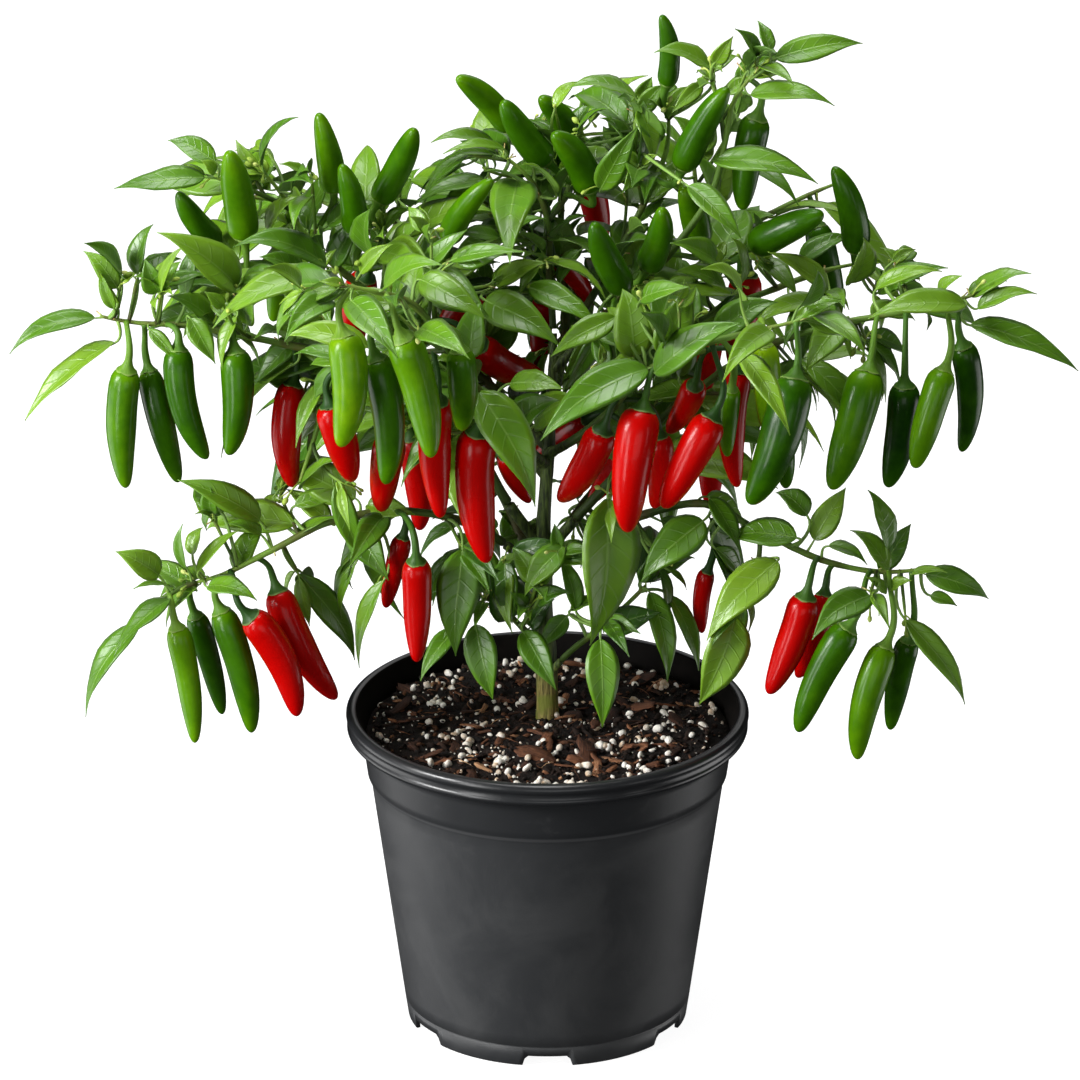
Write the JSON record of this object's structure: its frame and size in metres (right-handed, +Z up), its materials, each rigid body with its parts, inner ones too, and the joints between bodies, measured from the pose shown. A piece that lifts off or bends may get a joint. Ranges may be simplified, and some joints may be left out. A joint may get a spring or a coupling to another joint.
{
  "type": "potted chilli pepper plant",
  "caption": "Bushy chilli pepper plant with slender leaves and small tapering green and red chillies, standing in soil in a round tapered nursery pot.",
  "frame": {"origin": "on the ground under the middle of the pot", "axes": "+Z up, the viewed side faces -Y, +X to the right of that view"},
  "size_m": [0.602, 0.3304, 0.601],
  "materials": {
    "pot": "satin moulded black plastic",
    "soil": "loose peat and bark potting mix",
    "trunk": "barky green stem, tan at its foot",
    "foliage": "satin green leaves, stems and unripe fruit",
    "red_chilli": "glossy ripe fruit skin"
  },
  "bodies": {
    "root": {"pot": "pot", "soil": "soil", "trunk": "trunk", "leafy_branch_back_left": "foliage", "leafy_branch_back_low_left": "foliage", "leafy_branch_back_low_right": "foliage", "leafy_branch_back_mid": "foliage", "leafy_branch_back_right": "foliage", "leafy_branch_crown_left": "foliage", "leafy_branch_front_left": "foliage", "leafy_branch_front_right": "foliage", "leafy_branch_low_left": "foliage", "leafy_branch_low_right": "foliage", "leafy_branch_mid_left": "foliage", "leafy_branch_mid_right": "foliage", "leafy_branch_right_top": "foliage", "leafy_branch_shoot_left": "foliage", "leafy_branch_shoot_right": "foliage", "leafy_branch_top_centre": "foliage", "leafy_branch_top_mid": "foliage", "leafy_branch_top_right": "foliage", "red_chilli_back_left_1": "red_chilli", "red_chilli_back_low_left_1": "red_chilli", "red_chilli_back_low_right_1": "red_chilli", "red_chilli_back_mid_2": "red_chilli", "red_chilli_back_right_1": "red_chilli", "red_chilli_crown_left_7": "red_chilli", "red_chilli_crown_left_8": "red_chilli", "red_chilli_front_left_5": "red_chilli", "red_chilli_front_left_6": "red_chilli", "red_chilli_front_left_7": "red_chilli", "red_chilli_front_left_8": "red_chilli", "red_chilli_front_right_1": "red_chilli", "red_chilli_front_right_2": "red_chilli", "red_chilli_front_right_3": "red_chilli", "red_chilli_front_right_7": "red_chilli", "red_chilli_front_right_8": "red_chilli", "red_chilli_front_right_9": "red_chilli", "red_chilli_low_left_4": "red_chilli", "red_chilli_low_left_5": "red_chilli", "red_chilli_low_left_6": "red_chilli", "red_chilli_low_left_7": "red_chilli", "red_chilli_low_right_1": "red_chilli", "red_chilli_low_right_2": "red_chilli", "red_chilli_low_right_6": "red_chilli", "red_chilli_mid_left_5": "red_chilli", "red_chilli_mid_left_6": "red_chilli", "red_chilli_mid_right_5": "red_chilli", "red_chilli_mid_right_6": "red_chilli", "red_chilli_right_top_3": "red_chilli", "red_chilli_top_mid_5": "red_chilli", "red_chilli_top_mid_6": "red_chilli"}
  },
  "joints": []
}
